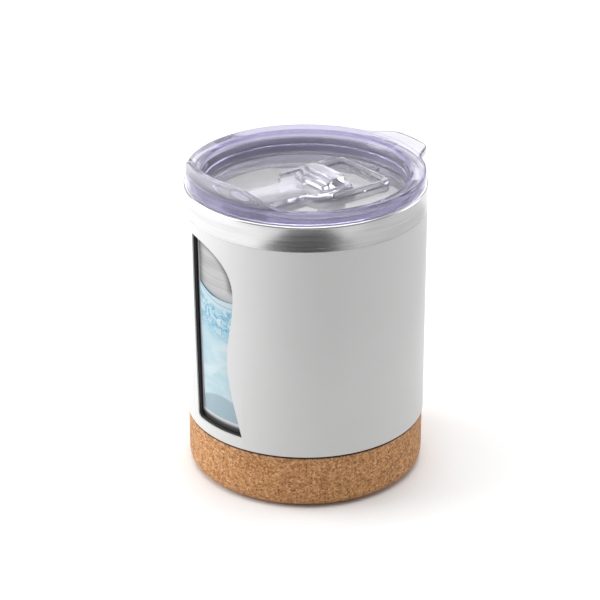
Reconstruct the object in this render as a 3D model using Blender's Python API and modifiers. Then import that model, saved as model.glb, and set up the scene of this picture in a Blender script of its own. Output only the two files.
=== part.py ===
"""Insulated steel travel tumbler: cork base, windowed painted sleeve and a push-in slider lid.

Run with:  blender --background --python part.py

The cup stands on z = 0 with its axis on Z. The drinking spout and the sleeve's window face -Y,
the lid's thumb tab points to +Y, and the slider opens towards +Y.
All named sizes are in millimetres and degrees; MM turns them into metres.
"""
import math

import bmesh
import bpy
from mathutils import Matrix, Vector

MM = 0.001
GAP = 0.3            # space left between pieces that touch on the real cup

# Driving dimensions of the cup
BODY_R = 43.0        # outside of the painted sleeve and of the steel mouth band
SLEEVE_WALL = 0.5
VESSEL_R = 41.0      # outside of the inner vessel's straight wall
VESSEL_WALL = 0.5
VESSEL_TOP_Z = 108.6
VESSEL_KNEE_Z = 24.6  # where the vessel narrows towards its floor
VESSEL_HEEL_Z = 20.4
FOOT_R = 39.4        # outside of the sleeve's reduced foot, inside the cork
RIM_Z = 108.9        # top of the steel mouth
BAND_WALL = 0.5
RIM_ROUND = 0.8
BAND_LEG_Z = 103.0   # lower edge of the mouth band's leg around the vessel
PAINT_TOP_Z = 99.6
STEP_Z = 20.8        # where the sleeve steps in above the cork
SLEEVE_FOOT_Z = 4.2
VESSEL_FLOOR_Z = 9.2
VESSEL_FLOOR_R = 36.3
PLATE_TOP_Z = 5.0
PLATE_FLANGE_Z = 7.4
PLATE_WALL = 0.8
FOAM_R = 34.0
FOAM_CHAMFER = 2.5
CORK_R = 42.7
CORK_TOP_Z = 19.8
CORK_FLOOR = 3.4
CORK_EDGE = 4.6      # rounding of the cork's lower edge

# Driving dimensions of the window: a straight cut towards the axis at WINDOW_AZ
WINDOW_AZ = 274.1
WINDOW_LEFT_TOP = -12.7
WINDOW_LEFT_BOTTOM = -10.1
WINDOW_BOTTOM_Z = 25.3
WINDOW_TOP_Z = 95.6
WINDOW_TIP = 13.2    # lower right corner
WINDOW_WAIST = (7.3, 54.5)
WINDOW_BULGE = (10.1, 79.0)
PRINT_LEFT_INSET = 2.2   # bare steel between the window's edges and the water print
PRINT_FOOT_INSET = 3.8
PRINT_RIGHT_INSET = 0.3
PRINT_LEFT_Z = 78.1  # the print's curved top edge, left and right
PRINT_RIGHT_Z = 75.7
PRINT_THICK = 0.3
PRINT_BOTTOM_Z = 24.0

# Driving dimensions of the lid
LID_R = 42.3
LID_TOP_Z = 113.6
RING_INNER_R = 37.2
RECESS_R = 36.0
PLUG_R = 38.6
SKIRT_WALL = 1.6     # the ring is a thin shell, open below between plug and skirt
CHANNEL_TOP_Z = 111.9
PLUG_BOTTOM_Z = 101.0
FLOOR_TOP_Z = 104.8
FLOOR_BOTTOM_Z = 103.0
GROOVE_R = 37.4
GROOVE_Z = (103.4, 107.2)
SPOUT_RISE = 6.6
SPOUT_FLAT = 16.0    # degrees each side of -Y at full height
SPOUT_END = 48.0     # degrees each side where the spout meets the ring
TAB_REACH = 6.4      # how far the thumb tab stands out past the ring
TAB_FLAT = 10.0
TAB_END = 23.0

# Driving dimensions of the slider and its track
SLIDER_TRAVEL = 10.4
SLIDER_HALF = 12.0
SLIDER_BACK = 14.6
SLIDER_TOP_Z = 107.0
TONGUE_HALF = 7.6
TONGUE_FRONT = -31.6
DRINK_HALF = 6.2
DRINK_Y = (-30.2, -21.6)
TRACK_INNER = 12.4
TRACK_OUTER = 14.6
TRACK_BACK = 25.6
TRACK_TOP_Z = 106.9
STEM_HALF = 2.2
STEM_Y = (-3.0, 0.0)
CLIP_TOP_Z = 102.7
CLIP_BOTTOM_Z = 101.3
VENT_Y = 30.6
VENT_R = 1.0

BODY_STEPS = 56
LID_STEPS = 84


def clear_scene():
    for item in list(bpy.data.objects):
        bpy.data.objects.remove(item, do_unlink=True)


def new_collection(name):
    group = bpy.data.collections.new(name)
    bpy.context.scene.collection.children.link(group)
    return group


def finish(name, colour, roughness, metallic=0.0, alpha=1.0):
    """A Principled material for one piece."""
    material = bpy.data.materials.new(name)
    material.use_nodes = True
    shader = material.node_tree.nodes["Principled BSDF"]
    shader.inputs["Base Color"].default_value = (*colour, 1.0)
    shader.inputs["Roughness"].default_value = roughness
    shader.inputs["Metallic"].default_value = metallic
    shader.inputs["Alpha"].default_value = alpha
    return material


def add_object(name, mesh, group, material=None):
    item = bpy.data.objects.new(name, mesh)
    group.objects.link(item)
    if material:
        mesh.materials.append(material)
    return item


def rounded(corners, steps):
    """Turn (r, z) corners into profile points; a third value rounds that corner."""
    points = []
    for i, corner in enumerate(corners):
        here = Vector(corner[:2])
        if len(corner) == 2:
            points.append(here)
            continue
        before = Vector(corners[i - 1][:2])
        after = Vector(corners[(i + 1) % len(corners)][:2])
        to_before = (before - here).normalized()
        to_after = (after - here).normalized()
        half = to_before.angle(to_after) / 2
        reach = corner[2] / math.tan(half)
        centre = here + (to_before + to_after).normalized() * corner[2] / math.sin(half)
        start = here + to_before * reach - centre
        turn = start.angle_signed(here + to_after * reach - centre)
        for k in range(steps + 1):
            arm = start.copy()
            arm.rotate(Matrix.Rotation(-turn * k / steps, 2))
            points.append(centre + arm)
    return points


def profile_mesh(name, corners, closed, steps):
    points = [Vector((p[0], 0, p[1])) * MM for p in rounded(corners, steps)]
    edges = [(i, i + 1) for i in range(len(points) - 1)]
    if closed:
        edges.append((len(points) - 1, 0))
    mesh = bpy.data.meshes.new(name)
    mesh.from_pydata(points, edges, [])
    return mesh


def turned(name, corners, group, material=None, closed=True, steps=BODY_STEPS, rounding=2):
    """A turned piece: the profile runs down its outer side. An open profile ends on the axis."""
    item = add_object(name, profile_mesh(name, corners, closed, rounding), group, material)
    screw = item.modifiers.new("turn", "SCREW")
    screw.steps = steps
    screw.render_steps = steps
    screw.use_merge_vertices = True
    screw.merge_threshold = 0.00002
    screw.use_smooth_shade = True
    return item


def curve_outline(name, points, half_depth, group, handles=None):
    """A flat closed outline in the curve's XY plane, as a solid 2 x half_depth thick.

    points are corners in mm; handles gives a point's left and right handles where it is curved.
    """
    data = bpy.data.curves.new(name, "CURVE")
    data.dimensions = "2D"
    data.fill_mode = "BOTH"
    data.extrude = half_depth * MM
    data.resolution_u = 8
    spline = data.splines.new("BEZIER")
    spline.bezier_points.add(len(points) - 1)
    for i, (place, knot) in enumerate(zip(points, spline.bezier_points)):
        knot.co = (place[0] * MM, place[1] * MM, 0)
        knot.handle_left_type = "VECTOR"
        knot.handle_right_type = "VECTOR"
        if handles and i in handles:
            left, right = handles[i]
            knot.handle_left_type = "FREE"
            knot.handle_right_type = "FREE"
            knot.handle_left = (left[0] * MM, left[1] * MM, 0)
            knot.handle_right = (right[0] * MM, right[1] * MM, 0)
    spline.use_cyclic_u = True
    item = bpy.data.objects.new(name, data)
    group.objects.link(item)
    return item


def as_mesh(item, group, material=None):
    """Swap an object for its evaluated, welded mesh, keeping its place."""
    graph = bpy.context.evaluated_depsgraph_get()
    mesh = bpy.data.meshes.new_from_object(item.evaluated_get(graph))
    name = item.name
    place = item.matrix_world.copy()
    bpy.data.objects.remove(item, do_unlink=True)
    edit = bmesh.new()
    edit.from_mesh(mesh)
    bmesh.ops.remove_doubles(edit, verts=edit.verts, dist=0.00001)
    bmesh.ops.recalc_face_normals(edit, faces=edit.faces)
    edit.to_mesh(mesh)
    edit.free()
    mesh.materials.clear()
    fresh = add_object(name, mesh, group, material)
    fresh.matrix_world = place
    return fresh


def boolean(target, tool, operation="DIFFERENCE"):
    step = target.modifiers.new(tool.name, "BOOLEAN")
    step.operation = operation
    step.solver = "EXACT"
    step.object = tool


def as_tool(item):
    item.hide_render = True
    item.display_type = "WIRE"
    return item


def box(name, low, high, group, material=None, bevel=0.0, axis="Z"):
    """A block between two corners in mm, its upright edges rounded by bevel."""
    mesh = bpy.data.meshes.new(name)
    edit = bmesh.new()
    bmesh.ops.create_cube(edit, size=1.0)
    size = [high[i] - low[i] for i in range(3)]
    middle = [(high[i] + low[i]) / 2 for i in range(3)]
    bmesh.ops.scale(edit, vec=[s * MM for s in size], verts=edit.verts)
    bmesh.ops.translate(edit, vec=[m * MM for m in middle], verts=edit.verts)
    if bevel:
        along = "XYZ".index(axis)
        upright = [e for e in edit.edges
                   if abs(e.verts[0].co[along] - e.verts[1].co[along]) > size[along] * MM / 2]
        bmesh.ops.bevel(edit, geom=upright, offset=bevel * MM, segments=4, profile=0.5,
                        affect="EDGES")
    edit.to_mesh(mesh)
    edit.free()
    return add_object(name, mesh, group, material)


def rod(name, radius, x, y, low, high, group, sides=20):
    mesh = bpy.data.meshes.new(name)
    edit = bmesh.new()
    place = Matrix.Translation((x * MM, y * MM, (low + high) / 2 * MM))
    bmesh.ops.create_cone(edit, cap_ends=True, segments=sides, radius1=radius * MM,
                          radius2=radius * MM, depth=(high - low) * MM, matrix=place)
    edit.to_mesh(mesh)
    edit.free()
    return add_object(name, mesh, group)


def window_outline(name, depth, group, for_print=False):
    """The window's outline: straight left and bottom edges, and a waisted right edge.

    It stands up, faces WINDOW_AZ, and is lofted towards the axis by 2 x depth.
    """
    left_inset = PRINT_LEFT_INSET if for_print else 0
    foot_inset = PRINT_FOOT_INSET if for_print else 0
    right_inset = PRINT_RIGHT_INSET if for_print else 0
    left = WINDOW_LEFT_BOTTOM + left_inset
    left_top = WINDOW_LEFT_TOP + left_inset
    bottom = WINDOW_BOTTOM_Z + foot_inset
    top = WINDOW_TOP_Z
    corner = 2.0
    waist = Vector(WINDOW_WAIST) - Vector((right_inset, 0))
    bulge = Vector(WINDOW_BULGE) - Vector((right_inset, 0))
    tip = Vector((WINDOW_TIP - 0.26 * foot_inset - right_inset, bottom))
    points = [(left, bottom + corner), (left + corner, bottom), tip, waist]
    handles = {
        0: ((left - 0.2, bottom + corner + 4), (left, bottom + 0.45 * corner)),
        1: ((left + 0.45 * corner, bottom), (left + corner + 4, bottom)),
        2: (tip - Vector((4, 0)), tip + Vector((-2.9, 11.2))),
        3: (waist - Vector((0.1, 9.5)), waist + Vector((0.1, 8.5))),
    }
    if for_print:
        right = Vector((bulge[0] - 0.4, PRINT_RIGHT_Z))
        points += [right, (left_top, PRINT_LEFT_Z)]
        handles[4] = (right - Vector((0.7, 7.0)), right + Vector((-6.0, -0.6)))
        handles[5] = ((left_top + 5.5, PRINT_LEFT_Z - 1.8), (left_top + 0.3, PRINT_LEFT_Z - 8))
    else:
        points += [bulge, (left_top, top)]
        handles[4] = (bulge - Vector((0, 9.0)), bulge + Vector((0, 10.5)))
        handles[5] = ((left_top + 14.6, top), (left_top + 0.3, top - 8))
    outline = curve_outline(name, points, depth, group, handles)
    turn = math.radians(WINDOW_AZ)
    middle = (BODY_R - 4.0) * MM
    outline.matrix_world = (Matrix.Translation((math.cos(turn) * middle, math.sin(turn) * middle, 0))
                            @ Matrix.Rotation(turn + math.pi / 2, 4, "Z")
                            @ Matrix.Rotation(math.pi / 2, 4, "X"))
    bpy.context.view_layer.update()
    return outline


def smooth_fall(angle, flat, end):
    """1 within flat degrees, 0 beyond end degrees, and a smooth fall between."""
    t = min(max((abs(angle) - flat) / (end - flat), 0.0), 1.0)
    return 1.0 - t * t * (3 - 2 * t)


def steel_pieces(group, tools):
    steel = finish("brushed_steel", (0.62, 0.62, 0.63), 0.32, 1.0)
    paint = finish("grey_paint", (0.80, 0.80, 0.80), 0.45)
    black = finish("black_liner", (0.02, 0.02, 0.02), 0.55)
    foam = finish("foam", (0.10, 0.10, 0.10), 0.9)
    water = finish("water_print", (0.42, 0.72, 0.85), 0.3)

    inner_r = VESSEL_R - VESSEL_WALL
    floor = VESSEL_FLOOR_Z
    turned("inner_vessel", [
        (0, floor + VESSEL_WALL), (VESSEL_FLOOR_R - VESSEL_WALL, floor + VESSEL_WALL, 3.2),
        (VESSEL_FLOOR_R - VESSEL_WALL, VESSEL_HEEL_Z + 0.3, 3.2),
        (inner_r, VESSEL_KNEE_Z + 0.3, 3.0), (inner_r, VESSEL_TOP_Z), (VESSEL_R, VESSEL_TOP_Z),
        (VESSEL_R, VESSEL_KNEE_Z, 3.0), (VESSEL_FLOOR_R, VESSEL_HEEL_Z, 3.0),
        (VESSEL_FLOOR_R, floor, 4.0), (0, floor)],
        group, steel, closed=False)

    leg_r = VESSEL_R + GAP
    turned("mouth_band", [
        (leg_r, RIM_Z, RIM_ROUND), (BODY_R, RIM_Z, RIM_ROUND), (BODY_R, PAINT_TOP_Z + GAP),
        (BODY_R - BAND_WALL, PAINT_TOP_Z + GAP), (BODY_R - BAND_WALL, RIM_Z - BAND_WALL, 0.2),
        (leg_r + BAND_WALL, RIM_Z - BAND_WALL, 0.2), (leg_r + BAND_WALL, BAND_LEG_Z),
        (leg_r, BAND_LEG_Z)], group, steel)

    inside = BODY_R - SLEEVE_WALL
    foot_inside = FOOT_R - SLEEVE_WALL
    window = as_tool(as_mesh(window_outline("window_tool", 8.0, tools), tools))
    sleeve = turned("painted_sleeve", [
        (inside, PAINT_TOP_Z), (BODY_R, PAINT_TOP_Z), (BODY_R, STEP_Z),
        (FOOT_R, STEP_Z), (FOOT_R, SLEEVE_FOOT_Z), (foot_inside, SLEEVE_FOOT_Z),
        (foot_inside, STEP_Z + SLEEVE_WALL), (inside, STEP_Z + SLEEVE_WALL)], group, paint)
    boolean(sleeve, window)

    liner = turned("insulating_liner", [
        (VESSEL_R + GAP, PAINT_TOP_Z - GAP), (inside - GAP, PAINT_TOP_Z - GAP),
        (inside - GAP, STEP_Z + SLEEVE_WALL + GAP), (VESSEL_R + GAP, STEP_Z + SLEEVE_WALL + GAP)],
        group, black)
    boolean(liner, window)

    film_r = VESSEL_R + GAP
    film = turned("water_print_blank", [
        (film_r, PRINT_LEFT_Z + 4), (film_r + PRINT_THICK, PRINT_LEFT_Z + 4),
        (film_r + PRINT_THICK, PRINT_BOTTOM_Z), (film_r, PRINT_BOTTOM_Z)], tools)
    outline = as_tool(as_mesh(window_outline("print_outline", 8.0, tools, True), tools))
    boolean(film, outline, "INTERSECT")
    bpy.context.view_layer.update()
    film.name = "water_print"
    as_mesh(film, group, water)

    plate_r = foot_inside - GAP
    turned("bottom_plate", [
        (0, PLATE_TOP_Z), (plate_r - PLATE_WALL, PLATE_TOP_Z), (plate_r - PLATE_WALL, PLATE_FLANGE_Z),
        (plate_r, PLATE_FLANGE_Z), (plate_r, SLEEVE_FOOT_Z, 0.6), (0, SLEEVE_FOOT_Z)],
        group, steel, closed=False)
    foam_top = floor - GAP
    turned("floor_insulation", [
        (0, foam_top), (FOAM_R - FOAM_CHAMFER, foam_top), (FOAM_R, foam_top - FOAM_CHAMFER),
        (FOAM_R, PLATE_TOP_Z + GAP), (0, PLATE_TOP_Z + GAP)], group, foam, closed=False)


def base_pieces(group):
    cork = finish("cork", (0.62, 0.40, 0.22), 0.85)
    rubber = finish("seam_gasket", (0.03, 0.03, 0.03), 0.7)
    recess_r = FOOT_R + GAP
    turned("cork_base", [
        (0, CORK_FLOOR), (recess_r, CORK_FLOOR), (recess_r, CORK_TOP_Z), (CORK_R, CORK_TOP_Z, 0.4),
        (CORK_R, 0.0, CORK_EDGE), (0, 0.0)], group, cork, closed=False, rounding=4)
    turned("seam_gasket", [
        (recess_r, STEP_Z - GAP), (BODY_R - 0.4, STEP_Z - GAP), (BODY_R - 0.4, CORK_TOP_Z + GAP),
        (recess_r, CORK_TOP_Z + GAP)], group, rubber)


def shape_ring(mesh):
    """Raise the lid's outer lip into the spout at -Y and draw it out into the tab at +Y."""
    for vertex in mesh.vertices:
        radius = math.hypot(vertex.co.x, vertex.co.y) / MM
        height = vertex.co.z / MM
        azimuth = math.degrees(math.atan2(vertex.co.y, vertex.co.x))
        spout = smooth_fall((azimuth + 90 + 180) % 360 - 180, SPOUT_FLAT, SPOUT_END)
        tab = smooth_fall((azimuth - 90 + 180) % 360 - 180, TAB_FLAT, TAB_END)
        if height < 111.0:
            continue
        if radius > 40.0 and height > 112.0:
            vertex.co.z += SPOUT_RISE * spout * MM
        elif 38.0 < radius < 40.0:
            vertex.co.z += 0.3 * SPOUT_RISE * spout * MM
        if radius > 41.0:
            stretch = (radius + TAB_REACH * tab) / radius
            vertex.co.x *= stretch
            vertex.co.y *= stretch


def lid_pieces(group, tools):
    clear = finish("clear_plastic", (0.86, 0.85, 0.95), 0.05, 0.0, 0.4)
    silicone = finish("silicone", (0.90, 0.90, 0.92), 0.5, 0.0, 0.7)

    seat = RIM_Z + GAP
    blank = turned("lid_body", [
        (0, FLOOR_TOP_Z), (RECESS_R, FLOOR_TOP_Z, 0.8), (RECESS_R, 109.3),
        (RING_INNER_R - 0.2, 113.0), (RING_INNER_R + 0.4, LID_TOP_Z - 0.2), (39.0, LID_TOP_Z),
        (40.3, LID_TOP_Z), (41.2, LID_TOP_Z - 0.2), (42.0, LID_TOP_Z - 0.5), (LID_R, 112.4),
        (LID_R, 111.6), (LID_R, 110.8), (LID_R, seat + 0.4), (LID_R - 0.4, seat),
        (LID_R - SKIRT_WALL, seat), (LID_R - SKIRT_WALL, CHANNEL_TOP_Z),
        (PLUG_R, CHANNEL_TOP_Z),
        (PLUG_R, GROOVE_Z[1]), (GROOVE_R, GROOVE_Z[1]), (GROOVE_R, GROOVE_Z[0]),
        (PLUG_R, GROOVE_Z[0]), (PLUG_R, PLUG_BOTTOM_Z, 0.6), (RECESS_R, PLUG_BOTTOM_Z),
        (RECESS_R, FLOOR_BOTTOM_Z), (0, FLOOR_BOTTOM_Z)],
        group, closed=False, steps=LID_STEPS)
    lid = as_mesh(blank, group, clear)
    shape_ring(lid.data)
    lid.data.shade_smooth()
    lid.data.set_sharp_from_angle(angle=math.radians(35))

    track = box("track_block", (-TRACK_OUTER, -4.0, FLOOR_TOP_Z - 0.6),
                (TRACK_OUTER, TRACK_BACK + TRACK_OUTER - TRACK_INNER, TRACK_TOP_Z), tools,
                bevel=3.4)
    well = box("track_well", (-TRACK_INNER, -20.0, FLOOR_TOP_Z - 2.0),
               (TRACK_INNER, TRACK_BACK, TRACK_TOP_Z + 2.0), tools, bevel=2.2)
    front = box("track_front", (-20.0, -20.0, FLOOR_TOP_Z - 2.0), (20.0, 2.0, TRACK_TOP_Z + 2.0),
                tools)
    boolean(track, as_tool(well))
    boolean(track, as_tool(front))
    boolean(lid, as_tool(track), "UNION")

    nub = box("vent_nub", (-1.9, VENT_Y - 2.0, FLOOR_TOP_Z - 0.5),
              (1.9, VENT_Y + 2.0, FLOOR_TOP_Z + 1.2), tools, bevel=1.2)
    boolean(lid, as_tool(nub), "UNION")
    drink = box("drink_hole", (-DRINK_HALF, DRINK_Y[0], 98.0), (DRINK_HALF, DRINK_Y[1], 112.0),
                tools, bevel=3.0)
    boolean(lid, as_tool(drink))
    slot = box("stem_slot", (-STEM_HALF - 0.4, STEM_Y[0] - 0.4, 98.0),
               (STEM_HALF + 0.4, STEM_Y[1] + SLIDER_TRAVEL + 0.4, 112.0), tools, bevel=1.0)
    boolean(lid, as_tool(slot))
    vent = rod("vent_hole", VENT_R, 0.0, VENT_Y, 98.0, 112.0, tools)
    boolean(lid, as_tool(vent))

    gasket_r = GROOVE_R + GAP
    lip_r = VESSEL_R - VESSEL_WALL - GAP
    low = GROOVE_Z[0] + GAP
    high = GROOVE_Z[1] - GAP
    middle = (low + high) / 2
    turned("lid_gasket", [
        (gasket_r, high), (lip_r - 0.7, high), (lip_r, high - 0.5), (lip_r, high - 0.9),
        (lip_r - 0.9, middle + 0.15), (lip_r - 0.9, middle - 0.15), (lip_r, middle - 0.7),
        (lip_r, middle - 1.1), (lip_r - 0.7, low), (gasket_r, low)],
        group, silicone)


def slider_pieces(group, tools):
    clear = finish("clear_slider", (0.90, 0.90, 0.95), 0.05, 0.0, 0.4)
    silicone = finish("slider_silicone", (0.90, 0.90, 0.92), 0.5, 0.0, 0.7)
    under = FLOOR_TOP_Z + GAP
    top = SLIDER_TOP_Z

    points = [(-SLIDER_HALF, -3.6), (-TONGUE_HALF, -5.2), (-TONGUE_HALF, TONGUE_FRONT + 4.0),
              (0, TONGUE_FRONT), (TONGUE_HALF, TONGUE_FRONT + 4.0), (TONGUE_HALF, -5.2),
              (SLIDER_HALF, -3.6), (SLIDER_HALF, SLIDER_BACK - 2.6), (0, SLIDER_BACK),
              (-SLIDER_HALF, SLIDER_BACK - 2.6)]
    bow = 4.2
    handles = {
        2: ((-TONGUE_HALF, TONGUE_FRONT + 8), (-TONGUE_HALF, TONGUE_FRONT + 1.2)),
        3: ((-bow, TONGUE_FRONT), (bow, TONGUE_FRONT)),
        4: ((TONGUE_HALF, TONGUE_FRONT + 1.2), (TONGUE_HALF, TONGUE_FRONT + 8)),
        8: ((bow + 2, SLIDER_BACK), (-bow - 2, SLIDER_BACK)),
    }
    plate = curve_outline("slider", points, (top - under) / 2, group, handles)
    plate.location.z = (top + under) / 2 * MM
    bpy.context.view_layer.update()
    slider = as_mesh(plate, group, clear)

    for i, (y, z) in enumerate(((1.2, 108.3), (3.2, 109.3), (5.2, 110.3))):
        tread = box(f"grip_tread_{i}", (-8.6, y, top - 0.6), (8.6, 11.4, z), tools, bevel=1.2)
        boolean(slider, as_tool(tread), "UNION")
    for side in (-1, 1):
        x = sorted((side * (SLIDER_HALF - 0.2), side * (SLIDER_HALF - 1.4)))
        rail = box(f"side_rail_{side + 1}", (x[0], -3.0, top - 0.6), (x[1], 11.6, top + 0.9), tools)
        boolean(slider, as_tool(rail), "UNION")
    stem = box("stem", (-STEM_HALF, STEM_Y[0], CLIP_BOTTOM_Z + 0.2),
               (STEM_HALF, STEM_Y[1], under + 0.6), tools, bevel=0.5)
    boolean(slider, as_tool(stem), "UNION")
    pocket = box("seal_pocket", (-DRINK_HALF - 0.7, DRINK_Y[0] - 0.4, under - 1.0),
                 (DRINK_HALF + 0.7, DRINK_Y[1] + 0.8, under + 1.0), tools, bevel=3.2)
    boolean(slider, as_tool(pocket))

    box("slider_seal", (-DRINK_HALF - 0.4, DRINK_Y[0] - 0.1, under),
        (DRINK_HALF + 0.4, DRINK_Y[1] + 0.5, under + 0.7), group, silicone, bevel=2.9)

    clip = box("slider_clip", (-7.0, -7.0, CLIP_BOTTOM_Z), (7.0, 4.0, CLIP_TOP_Z), group, clear,
               bevel=1.5)
    keyhole = box("clip_keyhole", (-STEM_HALF - GAP, STEM_Y[0] - GAP, CLIP_BOTTOM_Z - 1.0),
                  (STEM_HALF + GAP, STEM_Y[1] + GAP, CLIP_TOP_Z + 1.0), tools, bevel=0.5)
    boolean(clip, as_tool(keyhole))


def main():
    clear_scene()
    tumbler = new_collection("travel_tumbler")
    tools = new_collection("cutters")
    steel_pieces(tumbler, tools)
    base_pieces(tumbler)
    lid_pieces(tumbler, tools)
    slider_pieces(tumbler, tools)


main()
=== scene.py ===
"""Looks for the steel travel tumbler: its pieces in fine detail, their finishes, studio and camera.

Sizes are in millimetres and degrees, and MM turns them into metres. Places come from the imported
frame: the cup stands on z = 0, its spout and window face -Y and the lid's tab points to +Y.
"""
import math

import bpy
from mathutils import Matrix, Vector
from mathutils.geometry import interpolate_bezier


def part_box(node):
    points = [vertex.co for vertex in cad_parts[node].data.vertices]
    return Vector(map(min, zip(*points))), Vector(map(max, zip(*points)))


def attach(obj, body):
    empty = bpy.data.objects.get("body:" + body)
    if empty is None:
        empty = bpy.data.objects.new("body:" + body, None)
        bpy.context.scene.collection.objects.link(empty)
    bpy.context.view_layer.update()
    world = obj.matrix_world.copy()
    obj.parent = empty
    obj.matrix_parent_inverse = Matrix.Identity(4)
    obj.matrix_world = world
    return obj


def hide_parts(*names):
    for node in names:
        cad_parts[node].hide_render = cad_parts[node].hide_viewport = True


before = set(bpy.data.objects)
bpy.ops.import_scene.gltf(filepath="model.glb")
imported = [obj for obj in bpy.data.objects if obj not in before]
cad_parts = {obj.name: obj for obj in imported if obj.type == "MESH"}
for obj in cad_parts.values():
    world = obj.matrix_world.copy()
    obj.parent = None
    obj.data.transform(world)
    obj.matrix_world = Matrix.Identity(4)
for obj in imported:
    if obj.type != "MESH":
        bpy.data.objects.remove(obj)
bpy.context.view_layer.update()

MM = 0.001


def span(node):
    """A CAD node's lowest and highest corners, in millimetres."""
    low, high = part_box(node)
    return low / MM, high / MM


sleeve_low, sleeve_high = span("painted_sleeve")
vessel_low, vessel_high = span("inner_vessel")
_, band_high = span("mouth_band")
liner_low, liner_high = span("insulating_liner")
plate_low, plate_high = span("bottom_plate")
foam_low, foam_high = span("floor_insulation")
_, cork_high = span("cork_base")
_, seam_high = span("seam_gasket")
lid_low, lid_high = span("lid_body")
fin_low, fin_high = span("lid_gasket")
slider_low, slider_high = span("slider")
seal_low, seal_high = span("slider_seal")
clip_low, clip_high = span("slider_clip")

# The cup
GAP = 0.3
BODY_R = sleeve_high.x
SLEEVE_WALL = 0.5
PAINT_TOP = sleeve_high.z
STEP_Z = liner_low.z - SLEEVE_WALL - GAP
FOOT_R = plate_high.x + GAP + SLEEVE_WALL
VESSEL_R = vessel_high.x
VESSEL_WALL = 0.5
VESSEL_FLOOR_R = VESSEL_R - 4.7
KNEE_Z = 24.6
HEEL_Z = 20.4
BAND_WALL = 0.5
RIM_ROUND = 0.8
BAND_LEG_Z = 103.0
PLATE_WALL = 0.8
FOAM_CHAMFER = 2.5
CORK_R = cork_high.x
CORK_FLOOR = 3.4
CORK_EDGE = 4.6
CORK_FLAT_R = 30

# The window, cut straight through the sleeve and liner
WINDOW_AZ = 274.1
WINDOW_LEFT_TOP = -12.7
WINDOW_LEFT_BOTTOM = -10.1
WINDOW_BOTTOM = 25.3
WINDOW_TOP = 95.6
WINDOW_TIP = 13.2
WINDOW_WAIST = Vector((7.3, 54.5))
WINDOW_BULGE = Vector((10.1, 79.0))
WINDOW_LEAN = (WINDOW_LEFT_TOP - WINDOW_LEFT_BOTTOM) / (WINDOW_TOP - WINDOW_BOTTOM)
PRINT_LEFT_INSET = 2.2
PRINT_FOOT_INSET = 3.8
PRINT_RIGHT_INSET = 0.3
PRINT_LEVEL = 75.55
PRINT_TILT = -0.119
PRINT_BEND = 0.0164

# The lid
LID_R = lid_high.x
LID_TOP = 113.6
SPOUT_RISE = lid_high.z - LID_TOP
SPOUT_FLAT = 16
SPOUT_END = 48
TAB_REACH = lid_high.y - LID_R
TAB_FLAT = 10
TAB_END = 23
RING_INNER_R = 37.2
RECESS_R = 36.0
PLUG_R = 38.6
SKIRT_WALL = 1.6
CHANNEL_TOP = 111.9
CHANNEL_SLANT = 2.2
RECESS_FOOT = 106.6
RECESS_BEND = 109.6
RING_FOOT = 112.2
GROOVE_R = 37.4
GROOVE_Z = (fin_low.z - GAP, fin_high.z + GAP)
FLOOR_TOP = 104.8
FLOOR_BOTTOM = 103.0
SEAT_Z = band_high.z + GAP

# The slider and its track
TRAVEL = 10.4
SLIDER_UNDER = FLOOR_TOP + GAP
SLIDER_TOP = 107.0
SLIDER_HALF = slider_high.x
TONGUE_HALF = 7.6
TRACK_INNER = 12.4
TRACK_OUTER = 14.6
TRACK_BACK = 25.6
TRACK_TOP = 106.9
DRINK_HALF = 6.2
DRINK_Y = (-30.2, -21.6)
STEM_HALF = 2.2
STEM_Y = (-3.0, 0.0)
VENT_Y = 30.6
VENT_R = 1.0

# Fineness of turned pieces, curves and rounded edges
BODY_STEPS = 240
LID_STEPS = 300
CORK_STEPS = 600
CURVE_STEPS = 14
EDGE_SEGMENTS = 3
EDGE_ANGLE = 30
SKIN_SPACING = 0.45  # longest stretch of a profile that is pushed or dented later
MERGE_GAP = 0.01

# The block that cuts the window starts this far from the axis and is this deep
CUT_START = 36
CUT_DEPTH = 12

# Clear plastic
CLEAR_SHARE = 0.88
LID_IOR = 1.32
SLIDER_IOR = 1.34
CLEAR_TINT = (0.95, 0.94, 0.985)
# Painted shade: the deeper violets for the lid's ring, recess wall, skirt and edges stand in for
# dark steel and shade seen through the plastic
RING_SHADE_TINT = (0.66, 0.645, 0.72)
WALL_SHADE_TINT = (0.80, 0.77, 0.93)
SKIRT_SHADE_TINT = (0.56, 0.53, 0.74)
EDGE_SHADE_TINT = (0.40, 0.38, 0.66)
TAB_TINT = (0.54, 0.53, 0.58)
SLIDER_TINT = (0.84, 0.83, 0.90)
CLIP_TINT = (0.92, 0.91, 0.96)

# Camera
VIEW_AZIMUTH = 53.5
VIEW_ELEVATION = 25.2
CAMERA_DISTANCE = 850.0
LENS = 141.8
SENSOR = 36.0
LOOK_AT = Vector((-1.2, -1.6, 61.85))

# Studio: sizes and distances here are in metres, and power is in watts
FLOOR_SIZE = 6.0
AIR_STRENGTH = 0.38
CARD_HEIGHT = 0.002
CARDS = (
    # name, tone, azimuth, distance, size
    ("black_card", 0.04, VIEW_AZIMUTH + 3, 0.33, (0.36, 0.28)),
    ("grey_card", 0.50, VIEW_AZIMUTH + 84, 0.29, (0.34, 0.42)))
SOFTBOXES = (
    # name, azimuth, elevation, distance, size, power
    ("top_softbox", 0, 90, 1.2, (1.2, 1.2), 15),
    ("left_softbox", VIEW_AZIMUTH - 95, 18, 1.0, (0.8, 0.9), 11),
    ("right_softbox", VIEW_AZIMUTH + 110, 15, 1.1, (0.5, 0.8), 3.0),
    ("back_softbox", VIEW_AZIMUTH + 176, 27, 1.2, (1.4, 0.5), 5.2))

UP = Vector((0, 0, 1))
OUT = Vector((math.cos(math.radians(WINDOW_AZ)), math.sin(math.radians(WINDOW_AZ)), 0))
ACROSS = Vector((-OUT.y, OUT.x, 0))


# ---- Modelling ----

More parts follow.
